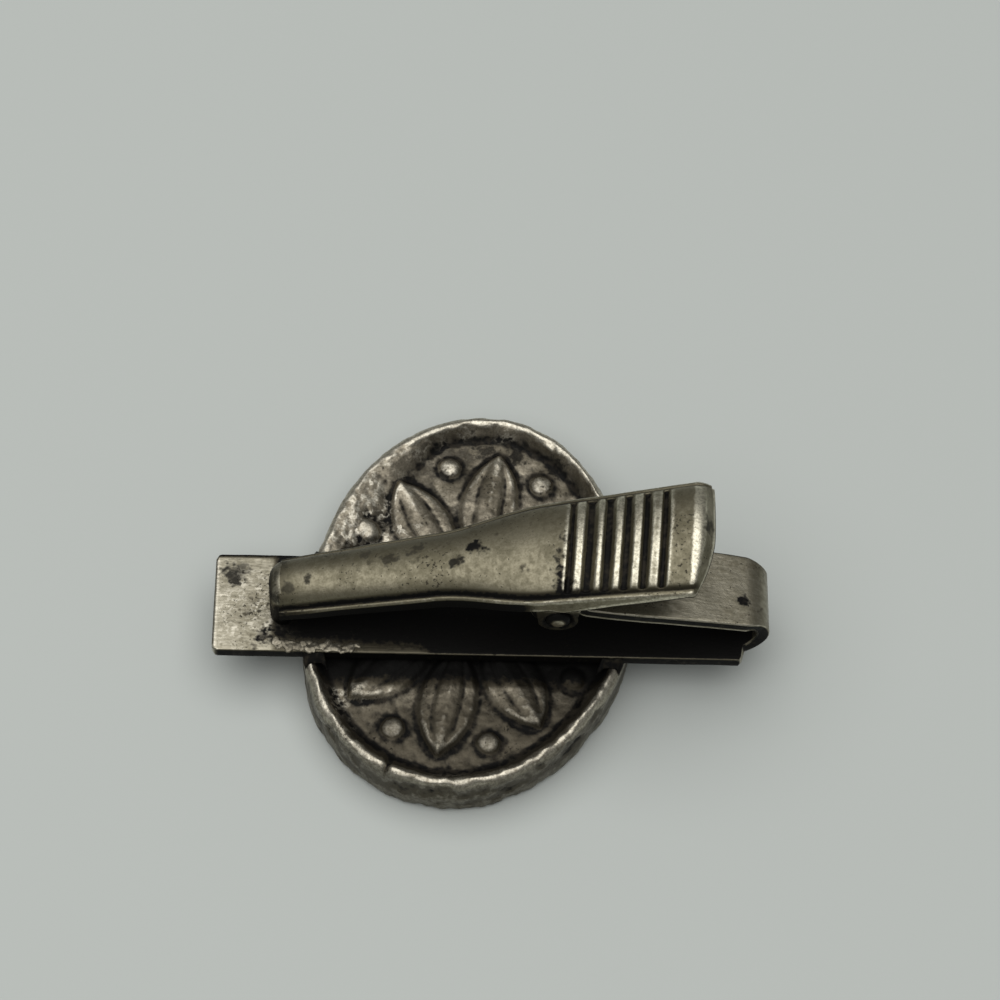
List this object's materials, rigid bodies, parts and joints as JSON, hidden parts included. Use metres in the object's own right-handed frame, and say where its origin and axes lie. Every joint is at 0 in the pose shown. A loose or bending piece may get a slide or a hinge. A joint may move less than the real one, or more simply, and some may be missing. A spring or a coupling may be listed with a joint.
{
  "type": "tie clip",
  "caption": "Alligator tie clip: a ribbed spring lever with a toothed nose, hinged on the folded arm of a flat bar that is soldered across the back of an oval struck medallion.",
  "frame": {"origin": "on the plane of the medallion's front rim, under the middle of the clip's length and of the bar's width", "axes": "+X along the bar from the jaw's nose to the folded end, +Y across the bar, +Z from the medallion's front to the lever"},
  "size_m": [0.038, 0.0293, 0.0162],
  "materials": {
    "medallion_metal": "antiqued silver plate, dark in the recesses and bright on the high spots",
    "bar_plate": "worn silver plate with scratches and pits",
    "lever_plate": "satin silver plate, worn bright on the ridges",
    "pin_metal": "peened rivet, plated",
    "spring_steel": "blued spring leaf",
    "solder_metal": "dull soft solder"
  },
  "bodies": {
    "frame": {"medallion": "medallion_metal", "bar": "bar_plate", "solder": "solder_metal", "return_spring": "spring_steel"},
    "lever": {"lever": "lever_plate", "pivot_pin": "pin_metal"}
  },
  "joints": [
    {"name": "lever_pivot", "type": "hinge", "parent": "frame", "child": "lever", "pos_m": [0.00437, 0, 0.00987], "axis": [0, 1, 0], "range_deg": [0, 34], "stiffness_Nm_per_rad": 0.06, "springref_deg": -34.38, "deforming": ["return_spring"]}
  ]
}
